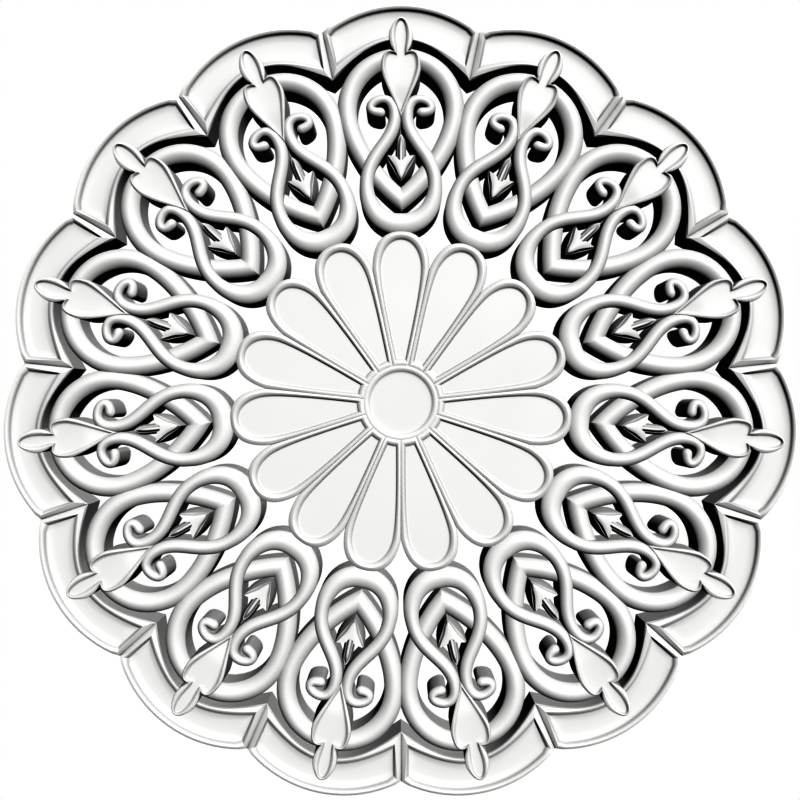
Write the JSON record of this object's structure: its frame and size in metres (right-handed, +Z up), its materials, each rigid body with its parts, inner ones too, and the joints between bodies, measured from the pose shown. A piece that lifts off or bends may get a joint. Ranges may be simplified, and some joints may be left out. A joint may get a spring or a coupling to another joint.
{
  "type": "carved rosette",
  "caption": "Round openwork wall rosette: petals round a central disc, looped bands and scrolls with arrow and spade motifs, inside a scalloped moulded ring.",
  "frame": {"origin": "centre of the flat back, on the plane of the wall", "axes": "+Z up, -Y out of the wall along the carving's relief, +X to the right of someone facing the carving"},
  "size_m": [0.5974, 0.0358, 0.5954],
  "materials": {
    "painted_wood": "satin white paint on carved wood"
  },
  "bodies": {
    "root": {"rosette": "painted_wood"}
  },
  "joints": []
}
